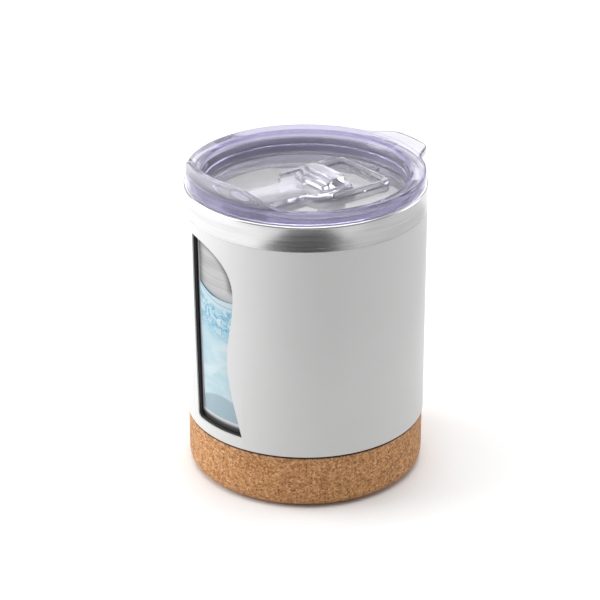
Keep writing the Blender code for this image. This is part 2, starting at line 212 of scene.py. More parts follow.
def select_only(piece):
    """Make a piece the only selected and active object."""
    bpy.ops.object.select_all(action="DESELECT")
    piece.select_set(True)
    bpy.context.view_layer.objects.active = piece


def rounded(corners, steps=5):
    """Points through (a, b) corners; a corner with a third value is rounded to that radius."""
    points = []
    for i, corner in enumerate(corners):
        here = Vector(corner[:2])
        if len(corner) == 2:
            points.append(here)
            continue
        before = (Vector(corners[i - 1][:2]) - here).normalized()
        after = (Vector(corners[(i + 1) % len(corners)][:2]) - here).normalized()
        half = before.angle(after) / 2
        centre = here + (before + after).normalized() * corner[2] / math.sin(half)
        start = here + before * corner[2] / math.tan(half) - centre
        end = here + after * corner[2] / math.tan(half) - centre
        turn = -start.angle_signed(end)
        for k in range(steps + 1):
            angle = turn * k / steps
            arm = Vector((start.x * math.cos(angle) - start.y * math.sin(angle),
                          start.x * math.sin(angle) + start.y * math.cos(angle)))
            points.append(centre + arm)
    return points


def dense(points, spacing):
    """The same line with extra points, so that no stretch is longer than spacing."""
    filled = [points[0]]
    for here, there in zip(points, points[1:]):
        parts = max(1, math.ceil((there - here).length / spacing))
        filled += [here.lerp(there, k / parts) for k in range(1, parts + 1)]
    return filled


def curved(knots):
    """Points round a closed outline of (point, handle before, handle after) knots.

    A stretch with no handle at either end is straight.
    """
    points = []
    for (here, _, leave), (there, arrive, _) in zip(knots, knots[1:] + knots[:1]):
        if leave is None and arrive is None:
            points.append(Vector(here))
            continue
        run = interpolate_bezier(Vector(here), Vector(leave or here), Vector(arrive or there),
                                 Vector(there), CURVE_STEPS)
        points += run[:-1]
    return points


def trace(name, points):
    """A chain of edges through points in 3D: one vertex drawn on by extruding."""
    bpy.ops.object.select_all(action="DESELECT")
    bpy.ops.mesh.primitive_plane_add(size=MM)
    piece = bpy.context.object
    piece.name = name
    piece.data.name = name
    bpy.ops.object.mode_set(mode="EDIT")
    bpy.ops.mesh.merge(type="CENTER")
    bpy.ops.transform.translate(value=points[0] * MM)
    for here, there in zip(points, points[1:]):
        step = {"value": (there - here) * MM}
        bpy.ops.mesh.extrude_vertices_move(TRANSFORM_OT_translate=step)
    bpy.ops.mesh.select_all(action="SELECT")
    return piece


def lathe(name, profile, steps=BODY_STEPS, closed=True):
    """A profile of (r, z) points turned about Z. A closed profile is a ring's section."""
    if closed:
        profile = profile + profile[:1]
    piece = trace(name, [Vector((r, 0, z)) for r, z in profile])
    bpy.ops.mesh.spin(steps=steps, angle=math.tau, center=(0, 0, 0), axis=(0, 0, 1))
    bpy.ops.mesh.select_all(action="SELECT")
    bpy.ops.mesh.remove_doubles(threshold=MERGE_GAP * MM)
    bpy.ops.mesh.normals_make_consistent(inside=False)
    bpy.ops.object.mode_set(mode="OBJECT")
    return piece


def slab(name, outline, thickness):
    """A closed 3D outline filled and extruded along the vector thickness."""
    piece = trace(name, outline)
    bpy.ops.mesh.edge_face_add()
    step = {"value": thickness * MM}
    bpy.ops.mesh.extrude_region_move(TRANSFORM_OT_translate=step)
    bpy.ops.mesh.select_all(action="SELECT")
    bpy.ops.mesh.normals_make_consistent(inside=False)
    bpy.ops.object.mode_set(mode="OBJECT")
    return piece


def level(outline, z):
    """A flat outline laid at height z."""
    return [Vector((x, y, z)) for x, y in outline]


def soften(piece, width):
    """Round a piece's sharp edges."""
    step = piece.modifiers.new("soften", "BEVEL")
    step.width = width * MM
    step.segments = EDGE_SEGMENTS
    step.limit_method = "ANGLE"
    step.angle_limit = math.radians(EDGE_ANGLE)
    select_only(piece)
    bpy.ops.object.modifier_apply(modifier=step.name)


def block(name, low, high, corner, edge=0.0):
    """A block between two corners, its upright edges rounded by corner and the rest by edge."""
    outline = [(low[0], low[1], corner), (low[0], high[1], corner),
               (high[0], high[1], corner), (high[0], low[1], corner)]
    piece = slab(name, level(rounded(outline), low[2]), UP * (high[2] - low[2]))
    if edge:
        soften(piece, edge)
    return piece


def combine(piece, tool, operation="DIFFERENCE"):
    """Cut a piece with a tool, or join the two, and take the tool away."""
    step = piece.modifiers.new("combine", "BOOLEAN")
    step.operation = operation
    step.solver = "EXACT"
    step.object = tool
    select_only(piece)
    bpy.ops.object.modifier_apply(modifier=step.name)
    bpy.data.objects.remove(tool, do_unlink=True)


def push(piece, direction, distance, weight):
    """Move vertices along X, Y or Z by distance, each by its own share from 0 to 1."""
    group = piece.vertex_groups.new(name="share")
    for vertex in piece.data.vertices:
        group.add([vertex.index], weight(vertex.co / MM), "REPLACE")
    step = piece.modifiers.new("push", "DISPLACE")
    step.vertex_group = group.name
    step.direction = direction
    step.mid_level = 0
    step.strength = distance * MM
    select_only(piece)
    bpy.ops.object.modifier_apply(modifier=step.name)
    piece.vertex_groups.clear()


def shift(piece, step):
    """Carry a piece's mesh along by step."""
    select_only(piece)
    bpy.ops.object.mode_set(mode="EDIT")
    bpy.ops.mesh.select_all(action="SELECT")
    bpy.ops.transform.translate(value=step * MM)
    bpy.ops.object.mode_set(mode="OBJECT")


def ease(value, start, end):
    """0 before start, 1 after end, and a smooth rise between."""
    t = min(max((value - start) / (end - start), 0.0), 1.0)
    return t * t * (3 - 2 * t)


def turn_from(point, azimuth):
    """How many degrees a point lies round the axis from an azimuth."""
    here = math.degrees(math.atan2(point.y, point.x))
    return abs((here - azimuth + 180) % 360 - 180)


def smooth(piece, angle=32):
    """Shade a piece smooth except at edges sharper than angle."""
    select_only(piece)
    bpy.ops.object.shade_smooth_by_angle(angle=math.radians(angle))


# ---- Finishes ----

class Wire:
    """A number on a shader socket. Arithmetic on it adds Math nodes to its finish."""

    def __init__(self, finish, socket):
        self.finish = finish
        self.socket = socket

    def calculate(self, operation, *values):
        """A Math node on this wire's finish."""
        return self.finish.node("ShaderNodeMath", {"operation": operation}, enumerate(values))

    def __add__(self, other):
        return self.calculate("ADD", self, other)

    def __radd__(self, other):
        return self.calculate("ADD", other, self)

    def __sub__(self, other):
        return self.calculate("SUBTRACT", self, other)

    def __rsub__(self, other):
        return self.calculate("SUBTRACT", other, self)

    def __mul__(self, other):
        return self.calculate("MULTIPLY", self, other)

    def __rmul__(self, other):
        return self.calculate("MULTIPLY", other, self)

    def __truediv__(self, other):
        return self.calculate("DIVIDE", self, other)

    def __pow__(self, other):
        return self.calculate("POWER", self, other)

    def __abs__(self):
        return self.calculate("ABSOLUTE", self)

    def __or__(self, other):
        return self.calculate("MAXIMUM", self, other)

    def rise(self, start, end):
        """0 below start, 1 above end; falls instead where end is the lower."""
        return self.finish.node("ShaderNodeMapRange", {"interpolation_type": "SMOOTHSTEP"},
                                {"Value": self, "From Min": start, "From Max": end})

    def line(self, place, half):
        """1 along a line at a value, 0 further than half from it."""
        return abs(self - place).rise(half, half * 0.3)


class Finish:
    """One material: a Principled shader and the nodes that vary it."""

    def __init__(self, name, constants):
        self.material = bpy.data.materials.new(name)
        self.material.use_nodes = True
        self.tree = self.material.node_tree
        self.shader = self.tree.nodes["Principled BSDF"]
        self.feed(self.shader, constants.items())

    def feed(self, node, inputs):
        """Give a node's sockets their values or links."""
        for name, value in inputs:
            if isinstance(value, Wire):
                self.tree.links.new(value.socket, node.inputs[name])
            else:
                node.inputs[name].default_value = value

    def node(self, kind, settings=None, inputs=(), output=0):
        """Any node: its settings first, then its sockets' values or links."""
        node = self.tree.nodes.new(kind)
        for name, value in (settings or {}).items():
            if name == "stops":
                ramp = node.color_ramp.elements
                while len(ramp) < len(value):
                    ramp.new(1.0)
                for stop, (place, colour) in zip(ramp, value):
                    stop.position = place
                    stop.color = (*colour, 1)
            else:
                setattr(node, name, value)
        self.feed(node, inputs.items() if isinstance(inputs, dict) else inputs)
        return Wire(self, node.outputs[output])

    def place(self, stretch=(1, 1, 1)):
        """Object coordinates in millimetres, stretched along each axis."""
        where = self.node("ShaderNodeTexCoord", output="Object")
        scale = [s / MM for s in stretch]
        return self.node("ShaderNodeMapping", {}, {"Vector": where, "Scale": scale})

    def axes(self):
        """The x, y and z of a point in millimetres."""
        split = self.node("ShaderNodeSeparateXYZ", {}, {"Vector": self.place()})
        outputs = split.socket.node.outputs
        return [Wire(self, socket) for socket in outputs]

    def noise(self, size, detail, stretch=(1, 1, 1), roughness=0.5, distortion=0.0):
        """Noise whose features are about size across."""
        return self.node("ShaderNodeTexNoise", {}, {
            "Vector": self.place(stretch), "Scale": 1 / size, "Detail": detail,
            "Roughness": roughness, "Distortion": distortion})

    def cells(self, size, output="Distance", stretch=(1, 1, 1)):
        """Grains about size across: the distance to each one's middle, or its own colour."""
        return self.node("ShaderNodeTexVoronoi", {}, {
            "Vector": self.place(stretch), "Scale": 1 / size}, output)

    def mix(self, factor, first, second):
        """A colour from first, where factor is 0, to second."""
        def paint(value):
            return value if isinstance(value, Wire) else (*value, 1)
        return self.node("ShaderNodeMix", {"data_type": "RGBA"},
                         [(0, factor), (6, paint(first)), (7, paint(second))], output=2)

    def ramp(self, value, stops):
        """A colour looked up from (place, colour) stops."""
        return self.node("ShaderNodeValToRGB", {"stops": stops}, {"Fac": value})

    def bump(self, height, strength, distance):
        """Relief from a height, distance deep."""
        relief = self.node("ShaderNodeBump", {}, {
            "Height": height, "Strength": strength, "Distance": distance * MM})
        self.set("Normal", relief)

    def set(self, socket, value):
        """Put a value or a wire on one of the shader's sockets."""
        self.feed(self.shader, [(socket, value)])


def brushed_steel(name, dark, light, roughness):
    """Steel brushed around the cup: long streaks along the turn, fine across it.

    Gives the finish and its base colour.
    """
    steel = Finish(name, {"Metallic": 1.0, "Anisotropic": 0.6})
    grain = 0.35
    streak = steel.noise(1.0, 3.0, (0.05, 0.05, 1 / grain), 0.6)
    band = steel.noise(1.0, 2.0, (0.02, 0.02, 0.35))
    tone = streak.rise(0.32, 0.68) * 0.6 + band.rise(0.3, 0.7) * 0.4
    body = steel.mix(tone, dark, light)
    steel.set("Base Color", body)
    steel.set("Roughness", roughness + (streak - 0.5) * 0.16)
    steel.bump(streak, 0.25, 0.02)
    return steel, body


def band_steel(name):
    """The mouth band's bright brushed steel."""
    steel, _ = brushed_steel(name, (0.58, 0.58, 0.585), (0.72, 0.72, 0.725), 0.24)
    return steel.material


def window_steel(name):
    """The vessel's steel: lighter inside, as painted light where the lid keeps light out, and
    darker outside where the window shows it, as painted shade of the recess.

    Round the print there is a plain margin that ends in a black strip, and a soft painted shade
    lies under the window's round upper edge.
    """
    # The outside tone is darker than the band's steel: painted shade of the recess behind the
    # window.
    steel, body = brushed_steel(name, (0.32, 0.32, 0.325), (0.52, 0.52, 0.525), 0.36)
    x, y, z = steel.axes()
    u = x * ACROSS.x + y * ACROSS.y
    outside = (x * x + y * y).rise((VESSEL_R - 0.3) ** 2, (VESSEL_R - 0.1) ** 2)
    # Round the print: bare margin, and a black strip at its outer edge
    bow = 0.7
    left = WINDOW_LEFT_BOTTOM - bow + (z - WINDOW_BOTTOM) * WINDOW_LEAN
    foot = z - WINDOW_BOTTOM
    margin = ((u - left).rise(PRINT_LEFT_INSET + 0.1, PRINT_LEFT_INSET - 0.1)
              | foot.rise(PRINT_FOOT_INSET + 0.1, PRINT_FOOT_INSET - 0.1)) * outside
    # A black strip along the print's left and foot
    black_strip = ((u - left).rise(1.9, 0.8) | foot.rise(3.3, 1.7)) * outside

    # Shade under the window's round upper edge
    arch_u = -12.0
    arch_z = 79.0
    arch_width = 20.6
    arch_height = 15.6
    squareness = 2.3
    arch = (abs((u - arch_u) / arch_width) ** squareness
            + abs((z - arch_z) / arch_height) ** squareness)
    shade = arch.rise(0.60, 0.92) * z.rise(arch_z - 2, arch_z + 2) * outside

    inside_painted_light_grey = (0.64, 0.64, 0.645)
    shade_black = (0.03, 0.03, 0.035)
    margin_grey = (0.50, 0.51, 0.52)
    strip_black = (0.035, 0.035, 0.035)
    # Inside the cup the steel is painted lighter: painted light where the lid keeps light out.
    wall = steel.mix(outside, inside_painted_light_grey, body)
    shaded = steel.mix(shade * 0.7, wall, shade_black)
    plain = steel.mix(black_strip, margin_grey, strip_black)
    steel.set("Base Color", steel.mix(margin, shaded, plain))
    steel.set("Metallic", 1 - margin)
    return steel.material


def pressed_steel(name):
    """Plain pressed sheet steel with a soft mill grain."""
    steel = Finish(name, {"Metallic": 1.0})
    grain = steel.noise(1.0, 4.0, (0.15, 3.0, 1.0))
    steel.set("Base Color", steel.mix(grain, (0.50, 0.50, 0.51), (0.63, 0.63, 0.64)))
    steel.set("Roughness", 0.34 + grain * 0.12)
    steel.bump(grain, 0.2, 0.02)
    return steel.material


def satin_paint(name):
    """Light grey satin coat with a faint orange peel."""
    paint = Finish(name, {"Specular IOR Level": 0.5})
    peel = paint.noise(0.9, 2.0)
    cloud = paint.noise(24.0, 3.0)
    shade = paint.mix(cloud, (0.550, 0.550, 0.548), (0.575, 0.575, 0.573))
    paint.set("Base Color", shade)
    paint.set("Roughness", 0.36 + cloud * 0.06 + (peel - 0.5) * 0.04)
    paint.bump(peel, 0.12, 0.03)
    return paint.material


def black_foam(name):
    """Matt black insulation as its cut face shows it."""
    foam = Finish(name, {})
    pores = foam.noise(0.35, 3.0, roughness=0.7)
    foam.set("Base Color", foam.mix(pores, (0.028, 0.028, 0.029), (0.060, 0.060, 0.061)))
    foam.set("Roughness", 0.5 + pores * 0.3)
    foam.bump(pores, 0.4, 0.08)
    return foam.material


def grey_foam(name):
    """Closed-cell foam with small round cells."""
    foam = Finish(name, {"Roughness": 0.9})
    cell = foam.cells(0.8)
    foam.set("Base Color", foam.mix(cell.rise(0.1, 0.7), (0.14, 0.14, 0.15), (0.05, 0.05, 0.055)))
    foam.bump(cell, 0.6, 0.12)
    return foam.material


def black_rubber(name):
    """Matt black rubber, a little dusty."""
    rubber = Finish(name, {})
    dust = rubber.noise(0.6, 3.0)
    rubber.set("Base Color", rubber.mix(dust, (0.010, 0.010, 0.010), (0.022, 0.021, 0.021)))
    rubber.set("Roughness", 0.55 + dust * 0.2)
    rubber.bump(dust, 0.3, 0.03)
    return rubber.material


def pressed_cork(name):
    """Pressed cork: tan granules of many shades, dark bark specks and small pits."""
    cork = Finish(name, {"Specular IOR Level": 0.4})
    bark_brown = (0.12, 0.045, 0.016)
    pit_brown = (0.22, 0.10, 0.04)

    # Large and small granules, each of its own shade
    shade = cork.cells(0.95, "Color", stretch=(1, 1, 1.2))
    pick = cork.node("ShaderNodeSeparateColor", {}, {"Color": shade})
    small = cork.node("ShaderNodeSeparateColor", {}, {"Color": cork.cells(0.45, "Color")})
    grit = cork.noise(0.3, 3.0, roughness=0.65)
    tone = pick * 0.42 + small * 0.38 + grit * 0.42 - 0.14
    body = cork.ramp(tone, [(0.0, (0.17, 0.060, 0.018)), (0.35, (0.40, 0.178, 0.062)),
                            (0.65, (0.57, 0.300, 0.122)), (1.0, (0.80, 0.500, 0.240))])

    # Bark specks and pits
    bark = cork.noise(0.8, 4.0, roughness=0.7, distortion=0.6).rise(0.57, 0.62)
    pit = cork.cells(1.1, stretch=(1, 1, 1.2)).rise(0.18, 0.09)
    barked = cork.mix(bark * 0.85, body, bark_brown)
    cork.set("Base Color", cork.mix(pit * small.rise(0.35, 0.5) * 0.8, barked, pit_brown))
    cork.set("Roughness", 0.58 + grit * 0.2)
    cork.bump(grit * 0.6 + small * 0.25 - bark * 0.6 - pit * 0.5, 0.55, 0.2)
    return cork.material


def printed_water(name):
    """Glossy print of rippling water on clear film, its surface line dark and its foot deeper."""
    film = Finish(name, {"Coat Weight": 0.15, "Coat Roughness": 0.2, "Specular IOR Level": 0.3})
    x, y, z = film.axes()
    u = x * ACROSS.x + y * ACROSS.y
    line_blue = (0.02, 0.20, 0.30)
    vein_blue = (0.05, 0.28, 0.42)
    bubble_blue = (0.06, 0.28, 0.42)
    swirl_blue = (0.13, 0.36, 0.48)
    streak_blue = (0.22, 0.42, 0.52)
    second_blue = (0.13, 0.29, 0.37)
    surface_grey = (0.40, 0.49, 0.53)

    # depth is counted down from the waterline
    ripple = (film.noise(5.0, 2.0) - 0.5) * 1.2
    depth = PRINT_LEVEL + u * PRINT_TILT + u * u * PRINT_BEND - z
    drift = film.noise(9.0, 4.0, (0.7, 0.7, 1.6), distortion=0.8)
    veil = film.mix(drift.rise(0.35, 0.7), (0.33, 0.465, 0.515), (0.45, 0.535, 0.57))

    # Swirls and veins in the upper zone, faint streaks further down
    zone = depth.rise(2.5, 5.0) * depth.rise(18.0, 11.0)
    swirl = film.noise(8.0, 3.0, (1, 1, 1.2), 0.55, 1.6)
    shade = swirl.rise(0.50, 0.62)
    vein = swirl.line(0.50, 0.045) | film.noise(5.0, 2.0, distortion=1.0).line(0.47, 0.030)
    water = film.mix(shade * zone * 0.60, veil, swirl_blue)
    water = film.mix(vein * zone * 0.85, water, vein_blue)
    streak = film.noise(1.0, 3.0, (0.12, 0.12, 0.9), distortion=0.5).rise(0.57, 0.70)
    water = film.mix(streak * depth.rise(12.0, 20.0) * 0.45, water, streak_blue)

    # Patches of small bubbles near the surface
    bubble = film.cells(2.4).rise(0.26, 0.18)
    patch = film.noise(7.0, 1.0).rise(0.48, 0.56)
    froth = bubble * patch * depth.rise(0.5, 1.4) * depth.rise(12.0, 6.0)
    water = film.mix(froth * 0.85, water, bubble_blue)

    # The surface: a pale strip between a heavy upper line and a thin lower one
    surface = film.mix(depth.rise(3.4, 2.6), water, surface_grey)
    second = (depth + ripple * 0.4 - u * 0.07).line(1.9, 0.28)
    surface = film.mix(second * 0.7, surface, second_blue)
    weight = u.rise(0.0, -2.5) * 0.35 + 0.30
    first = (depth + ripple * 0.2).rise(weight, weight * 0.5) * (0.45 + u.rise(2.0, -3.0) * 0.5)
    surface = film.mix(first, surface, line_blue)

    # The darker foot, under a rounded edge
    foot = (z + u * u * 0.03 - u * 0.14 + ripple * 0.5).rise(38.2, 37.0)
    deep = film.mix(drift, (0.21, 0.30, 0.35), (0.30, 0.385, 0.43))
    film.set("Base Color", film.mix(foot, surface, deep))
    film.set("Roughness", 0.38 + drift * 0.12)
    film.bump(ripple + swirl * 0.3, 0.05, 0.05)
    return film.material


def mould(plastic, roughness):
    """Make a clear plastic very slightly uneven, as mouldings are."""
    flow = plastic.noise(7.0, 2.0)
    haze = plastic.noise(1.5, 3.0)
    plastic.set("Roughness", roughness + haze.rise(0.5, 0.8) * 0.03)
    plastic.bump(flow, 0.06, 0.15)
    return plastic.material


def clear_plastic(name, tint, roughness):
    """Clear moulded plastic of one tint."""
    plastic = Finish(name, {"Base Color": (*tint, 1), "Transmission Weight": CLEAR_SHARE,
                            "IOR": SLIDER_IOR})
    return mould(plastic, roughness)


def lid_plastic(name):
    """Clear plastic with a violet cast, and painted shade in deeper violet along the ring, its
    recess wall, its skirt and its edges.
    """
    plastic = Finish(name, {"Transmission Weight": CLEAR_SHARE, "IOR": LID_IOR})
    x, y, z = plastic.axes()
    radius = (x * x + y * y) ** 0.5
    below_spout = z.rise(116.0, LID_TOP + 0.2)
    ring = radius.rise(RECESS_R + 0.2, RING_INNER_R) * z.rise(109.6, 111.0) * below_spout
    wall = radius.rise(RECESS_R - 0.6, RECESS_R - 0.1) * z.rise(110.2, 109.4)
    skirt = radius.rise(LID_R - 0.7, LID_R - 0.2) * z.rise(LID_TOP - 0.6, LID_TOP - 1.2)
    lip = radius.line(RING_INNER_R + 0.3, 0.9) * z.rise(LID_TOP - 2.2, LID_TOP - 1.4)
    brim = (radius.line(LID_R - 0.4, 0.7) * z.rise(LID_TOP - 0.9, LID_TOP - 0.5)
            * z.rise(LID_TOP + 1.0, LID_TOP + 0.4))
    tab = radius.rise(LID_R + 0.5, LID_R + 0.9)
    # Painted shade: deeper violet on the ring, recess wall, skirt and edges
    tint = CLEAR_TINT
    for part, colour in ((ring, RING_SHADE_TINT), (wall, WALL_SHADE_TINT), (skirt, SKIRT_SHADE_TINT),
                         (lip | brim, EDGE_SHADE_TINT), (tab, TAB_TINT)):
        tint = plastic.mix(part, tint, colour)
    plastic.set("Base Color", tint)
    return mould(plastic, 0.02)


def silicone(name):
    """Translucent milky silicone with a dusty skin."""
    rubber = Finish(name, {"Transmission Weight": 0.45, "IOR": 1.41})
    dust = rubber.noise(0.8, 3.0)
    rubber.set("Base Color", rubber.mix(dust, (0.80, 0.80, 0.84), (0.90, 0.90, 0.93)))
    rubber.set("Roughness", 0.38 + dust * 0.15)
    rubber.bump(dust, 0.15, 0.03)
    return rubber.material


def fit(piece, body, node, slot, *finishes):
    """Dress a finished piece and put it in its CAD node's place."""
    piece.data.materials.clear()
    for material in finishes:
        piece.data.materials.append(material)
    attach(piece, body)
    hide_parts(node)


# ---- The cup ----

def window_spot(point, depth):
    """A place on the window's plane: across and up, at a depth from the axis."""
    return ACROSS * point[0] + UP * point[1] + OUT * depth


def left_edge(inset, foot_inset):
    """The window's left edge, bottom to top, with the handles that bow it a little."""
    low = Vector((WINDOW_LEFT_BOTTOM + inset, WINDOW_BOTTOM + 2 + foot_inset))
    high = Vector((WINDOW_LEFT_TOP + inset, WINDOW_TOP))
    return low, low + Vector((-1.1, 21.0)), high + Vector((0.2, -21.0)), high


def window_outline():
    """Straight bottom edge, leaning left edge, and a waisted right edge that runs up to a point."""
    tip = Vector((WINDOW_TIP, WINDOW_BOTTOM))
    low, low_handle, high_handle, high = left_edge(0, 0)
    turn = Vector((WINDOW_LEFT_BOTTOM + 2, WINDOW_BOTTOM))
    return curved([
        (low, low_handle, low - Vector((0, 1.1))),
        (turn, turn - Vector((1.1, 0)), None),
        (tip, None, tip + Vector((-2.9, 11.2))),
        (WINDOW_WAIST, WINDOW_WAIST - Vector((0.1, 9.5)), WINDOW_WAIST + Vector((0.1, 8.5))),
        (WINDOW_BULGE, WINDOW_BULGE - Vector((0, 9)), WINDOW_BULGE + Vector((0, 10.5))),
        (high, high + Vector((14.6, 0)), high_handle)])


def water_line(u):
    """The water's upper edge at a place across the window."""
    return Vector((u, PRINT_LEVEL + PRINT_TILT * u + PRINT_BEND * u * u))


def print_outline():
    """Bare steel shows at the print's left and foot; its right edge runs along the window's."""
    low, low_handle, high_handle, high = left_edge(PRINT_LEFT_INSET, PRINT_FOOT_INSET)
    bottom = WINDOW_BOTTOM + PRINT_FOOT_INSET
    turn = Vector((low.x + 2, bottom))
    tip = Vector((WINDOW_TIP - 0.26 * PRINT_FOOT_INSET - PRINT_RIGHT_INSET, bottom))
    waist = WINDOW_WAIST - Vector((PRINT_RIGHT_INSET, 0))
    right = water_line(WINDOW_BULGE.x - PRINT_RIGHT_INSET - 0.2)
    side = curved([
        (low, None, low - Vector((0, 1.1))),
        (turn, turn - Vector((1.1, 0)), None),
        (tip, None, tip + Vector((-2.7, 9.5))),
        (waist, waist - Vector((0.1, 9.5)), waist + Vector((0.1, 8.5))),
        (right, right - Vector((0.7, 7.0)), None)])
    edge = interpolate_bezier(high, high_handle, low_handle, low, 20)
    edge = [point for point in edge if point.y < water_line(point.x).y - 0.5]
    waves = 12
    left = edge[0].x
    top = [water_line(right.x + (left - right.x) * k / waves) for k in range(1, waves + 1)]
    return side + top + edge[:-1]


def window_cutter(black_slot):
    """The solid that cuts the window, its faces marked for the second material slot."""
    start = [window_spot(point, CUT_START) for point in window_outline()]
    cutter = slab("window_cutter", start, OUT * CUT_DEPTH)
    for _ in range(black_slot + 1):
        cutter.data.materials.append(None)
    for face in cutter.data.polygons:
        face.material_index = black_slot
    return cutter


def make_sleeve(paint, black):
    """The outer wall, cut through by the window and stepped in at its foot."""
    inside = BODY_R - SLEEVE_WALL
    foot_inside = FOOT_R - SLEEVE_WALL
    sleeve = lathe("sleeve", rounded([
        (inside, PAINT_TOP), (BODY_R, PAINT_TOP, 0.06), (BODY_R, STEP_Z, 0.45), (FOOT_R, STEP_Z),
        (FOOT_R, sleeve_low.z, 0.1), (foot_inside, sleeve_low.z, 0.1),
        (foot_inside, STEP_Z + SLEEVE_WALL), (inside, STEP_Z + SLEEVE_WALL)]))
    sleeve.data.materials.append(paint)
    sleeve.data.materials.append(black)
    combine(sleeve, window_cutter(1))
    smooth(sleeve)
    fit(sleeve, "cup", "painted_sleeve", "sleeve_paint", paint, black)


def make_liner(black):
    """The black layer between the walls, whose cut edge lines the window."""
    outer = liner_high.x
    inner = VESSEL_R + GAP
    liner = lathe("liner", rounded([
        (inner, liner_high.z), (outer, liner_high.z, 0.2), (outer, liner_low.z, 0.2),
        (inner, liner_low.z)]))
    combine(liner, window_cutter(0))
    smooth(liner)
    fit(liner, "cup", "insulating_liner", "black_liner", black)


def make_vessel(steel):
    """The inner wall that holds the drink."""
    inside = VESSEL_R - VESSEL_WALL
    floor = vessel_low.z
    heel = VESSEL_FLOOR_R - VESSEL_WALL
    vessel = lathe("vessel", rounded([
        (0, floor + VESSEL_WALL), (heel, floor + VESSEL_WALL, 3.4), (heel, HEEL_Z + 0.3, 3.2),
        (inside, KNEE_Z + 0.3, 3.0), (inside, vessel_high.z), (VESSEL_R, vessel_high.z),
        (VESSEL_R, KNEE_Z, 3.0), (VESSEL_FLOOR_R, HEEL_Z, 3.0), (VESSEL_FLOOR_R, floor, 4.0),
        (0, floor)]), closed=False)
    smooth(vessel)
    fit(vessel, "cup", "inner_vessel", "vessel_steel", steel)


def make_band(steel):
    """The rolled mouth: down the outside to the paint and down the inside round the vessel."""
    leg = VESSEL_R + GAP
    rim = band_high.z
    lap = PAINT_TOP + 0.06
    band = lathe("rim_band", rounded([
        (leg, rim, RIM_ROUND), (BODY_R, rim, RIM_ROUND), (BODY_R, lap, 0.05),
        (BODY_R - BAND_WALL, lap), (BODY_R - BAND_WALL, rim - BAND_WALL, 0.2),
        (leg + BAND_WALL, rim - BAND_WALL, 0.2), (leg + BAND_WALL, BAND_LEG_Z, 0.15),
        (leg, BAND_LEG_Z)]))
    smooth(band)
    fit(band, "cup", "mouth_band", "band_steel", steel)


def make_print(water):
    """The water picture's film on the vessel, trimmed to the window."""
    inner = VESSEL_R + 0.05
    outer = VESSEL_R + 0.20
    top = 80
    bottom = 24
    ring = lathe("water_film", [Vector(corner) for corner in (
        (inner, top), (outer, top), (outer, bottom), (inner, bottom))])
    start = [window_spot(point, CUT_START) for point in print_outline()]
    outline = slab("print_outline", start, OUT * CUT_DEPTH)
    combine(ring, outline, "INTERSECT")
    smooth(ring)
    fit(ring, "cup", "water_print", "water_print", water)


def make_floor(plate_steel, foam):
    """The pressed plate that closes the sleeve's foot, and the foam disc above it."""
    edge = plate_high.x
    flange = edge - PLATE_WALL
    top = foam_low.z - GAP
    base = plate_low.z
    groove = base + 0.25
    plate = lathe("foot_plate", rounded([
        (0, top), (13.6, top, 0.3), (14.2, top + 0.01, 0.3), (flange, top, 0.4),
        (flange, plate_high.z), (edge, plate_high.z), (edge, base, 0.6), (15.6, base),
        (15.0, groove, 0.3), (9.0, groove, 0.3), (8.4, base), (0, base)]), closed=False)
    smooth(plate)
    fit(plate, "cup", "bottom_plate", "plate_steel", plate_steel)
    disc = lathe("foam_disc", rounded([
        (0, foam_high.z), (foam_high.x - FOAM_CHAMFER, foam_high.z, 0.5),
        (foam_high.x, foam_high.z - FOAM_CHAMFER, 0.5), (foam_high.x, foam_low.z, 0.3),
        (0, foam_low.z)]), closed=False)
    smooth(disc)
    fit(disc, "cup", "floor_insulation", "foam", foam)


def make_base(cork, rubber):
    """The cork cup, its skin dented by grains, and the thin black ring in the seam above it."""
    recess = FOOT_R + GAP
    top = seam_high.z - GAP
    skin = rounded([
        (recess, top), (CORK_R, top, 0.4), (CORK_R, 0, CORK_EDGE), (CORK_FLAT_R, 0)], 8)
    profile = [Vector((0, CORK_FLOOR)), Vector((recess - 0.5, CORK_FLOOR)),
               Vector((recess, CORK_FLOOR + 0.5))]
    profile += dense(skin, SKIN_SPACING) + [Vector((0, 0))]
    foot = lathe("cork_foot", profile, CORK_STEPS, closed=False)
    for kind, size, depth in (("VORONOI", 1.0, 0.08), ("CLOUDS", 0.6, 0.10)):
        grain = bpy.data.textures.new("grain", kind)
        grain.noise_scale = size * MM
        dent = foot.modifiers.new("dent", "DISPLACE")
        dent.texture = grain
        dent.texture_coords = "LOCAL"
        dent.mid_level = 1.0
        dent.strength = depth * MM
        select_only(foot)
        bpy.ops.object.modifier_apply(modifier=dent.name)
    smooth(foot, 50)
    fit(foot, "cup", "cork_base", "cork", cork)
    ring = lathe("seam_ring", rounded([
        (recess, seam_high.z), (seam_high.x, seam_high.z, 0.05), (seam_high.x, top + 0.1, 0.05),
        (recess, top + 0.1)]))
    smooth(ring)
    fit(ring, "cup", "seam_gasket", "seam_rubber", rubber)


# ---- The lid ----

